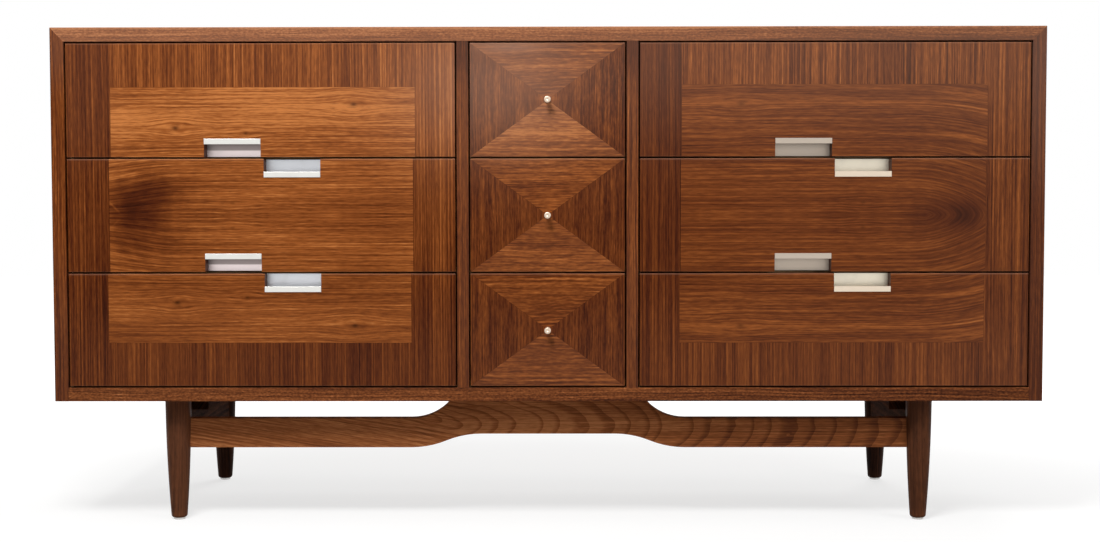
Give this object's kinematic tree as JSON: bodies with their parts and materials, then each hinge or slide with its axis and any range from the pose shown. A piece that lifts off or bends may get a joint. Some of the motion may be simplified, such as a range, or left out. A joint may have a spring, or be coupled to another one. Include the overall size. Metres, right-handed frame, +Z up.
{
  "type": "dresser",
  "caption": "Low walnut chest of drawers in three banks, with recessed channel pulls, small knobs, turned tapered legs and a shaped front stretcher.",
  "frame": {"origin": "on the floor, at the bottom centre of the whole object's box", "axes": "+Z up, +X to the right seen from the front, -Y towards the front"},
  "size_m": [1.524, 0.4792, 0.768],
  "materials": {
    "walnut_veneer": "satin lacquer",
    "drawer_veneer": "satin lacquer on framed, matched walnut veneers",
    "solid_walnut": "satin lacquer",
    "frame_wood": "planed, unfinished",
    "drawer_wood": "thin lacquer",
    "plywood": "thin lacquer",
    "backing_board": "bare board",
    "aluminium": "satin, brushed lengthways",
    "steel": "zinc plated"
  },
  "bodies": {
    "case": {"top_panel": "walnut_veneer", "left_side_panel": "walnut_veneer", "right_side_panel": "walnut_veneer", "bottom_panel": "frame_wood", "back_panel": "backing_board", "left_partition": "frame_wood", "right_partition": "frame_wood", "edging_rails": "solid_walnut", "edging_stiles": "solid_walnut", "left_drawer_supports": "frame_wood", "centre_drawer_supports": "frame_wood", "right_drawer_supports": "frame_wood", "dust_panels": "backing_board", "front_left_leg": "solid_walnut", "front_right_leg": "solid_walnut", "rear_left_leg": "solid_walnut", "rear_right_leg": "solid_walnut", "front_stretcher": "solid_walnut", "rear_stretcher": "solid_walnut", "left_leg_rail": "solid_walnut", "right_leg_rail": "solid_walnut", "base_cleats": "solid_walnut", "floor_glides": "steel", "case_screws": "steel"},
    "lower_left_drawer": {"lower_left_drawer_front": "drawer_veneer", "lower_left_drawer_box": "drawer_wood", "lower_left_drawer_bottom": "plywood", "lower_left_drawer_hardware": "aluminium"},
    "middle_left_drawer": {"middle_left_drawer_front": "drawer_veneer", "middle_left_drawer_box": "drawer_wood", "middle_left_drawer_bottom": "plywood", "middle_left_drawer_hardware": "aluminium"},
    "upper_left_drawer": {"upper_left_drawer_front": "drawer_veneer", "upper_left_drawer_box": "drawer_wood", "upper_left_drawer_bottom": "plywood", "upper_left_drawer_hardware": "aluminium"},
    "lower_centre_drawer": {"lower_centre_drawer_front": "drawer_veneer", "lower_centre_drawer_box": "drawer_wood", "lower_centre_drawer_bottom": "plywood", "lower_centre_drawer_hardware": "aluminium"},
    "middle_centre_drawer": {"middle_centre_drawer_front": "drawer_veneer", "middle_centre_drawer_box": "drawer_wood", "middle_centre_drawer_bottom": "plywood", "middle_centre_drawer_hardware": "aluminium"},
    "upper_centre_drawer": {"upper_centre_drawer_front": "drawer_veneer", "upper_centre_drawer_box": "drawer_wood", "upper_centre_drawer_bottom": "plywood", "upper_centre_drawer_hardware": "aluminium"},
    "lower_right_drawer": {"lower_right_drawer_front": "drawer_veneer", "lower_right_drawer_box": "drawer_wood", "lower_right_drawer_bottom": "plywood", "lower_right_drawer_hardware": "aluminium"},
    "middle_right_drawer": {"middle_right_drawer_front": "drawer_veneer", "middle_right_drawer_box": "drawer_wood", "middle_right_drawer_bottom": "plywood", "middle_right_drawer_hardware": "aluminium"},
    "upper_right_drawer": {"upper_right_drawer_front": "drawer_veneer", "upper_right_drawer_box": "drawer_wood", "upper_right_drawer_bottom": "plywood", "upper_right_drawer_hardware": "aluminium"}
  },
  "joints": [
    {"name": "lower_left_drawer_slide", "type": "slide", "parent": "case", "child": "lower_left_drawer", "axis": [0, -1, 0], "range_m": [0, 0.33]},
    {"name": "middle_left_drawer_slide", "type": "slide", "parent": "case", "child": "middle_left_drawer", "axis": [0, -1, 0], "range_m": [0, 0.33]},
    {"name": "upper_left_drawer_slide", "type": "slide", "parent": "case", "child": "upper_left_drawer", "axis": [0, -1, 0], "range_m": [0, 0.33]},
    {"name": "lower_centre_drawer_slide", "type": "slide", "parent": "case", "child": "lower_centre_drawer", "axis": [0, -1, 0], "range_m": [0, 0.33]},
    {"name": "middle_centre_drawer_slide", "type": "slide", "parent": "case", "child": "middle_centre_drawer", "axis": [0, -1, 0], "range_m": [0, 0.33]},
    {"name": "upper_centre_drawer_slide", "type": "slide", "parent": "case", "child": "upper_centre_drawer", "axis": [0, -1, 0], "range_m": [0, 0.33]},
    {"name": "lower_right_drawer_slide", "type": "slide", "parent": "case", "child": "lower_right_drawer", "axis": [0, -1, 0], "range_m": [0, 0.33]},
    {"name": "middle_right_drawer_slide", "type": "slide", "parent": "case", "child": "middle_right_drawer", "axis": [0, -1, 0], "range_m": [0, 0.33]},
    {"name": "upper_right_drawer_slide", "type": "slide", "parent": "case", "child": "upper_right_drawer", "axis": [0, -1, 0], "range_m": [0, 0.33]}
  ]
}
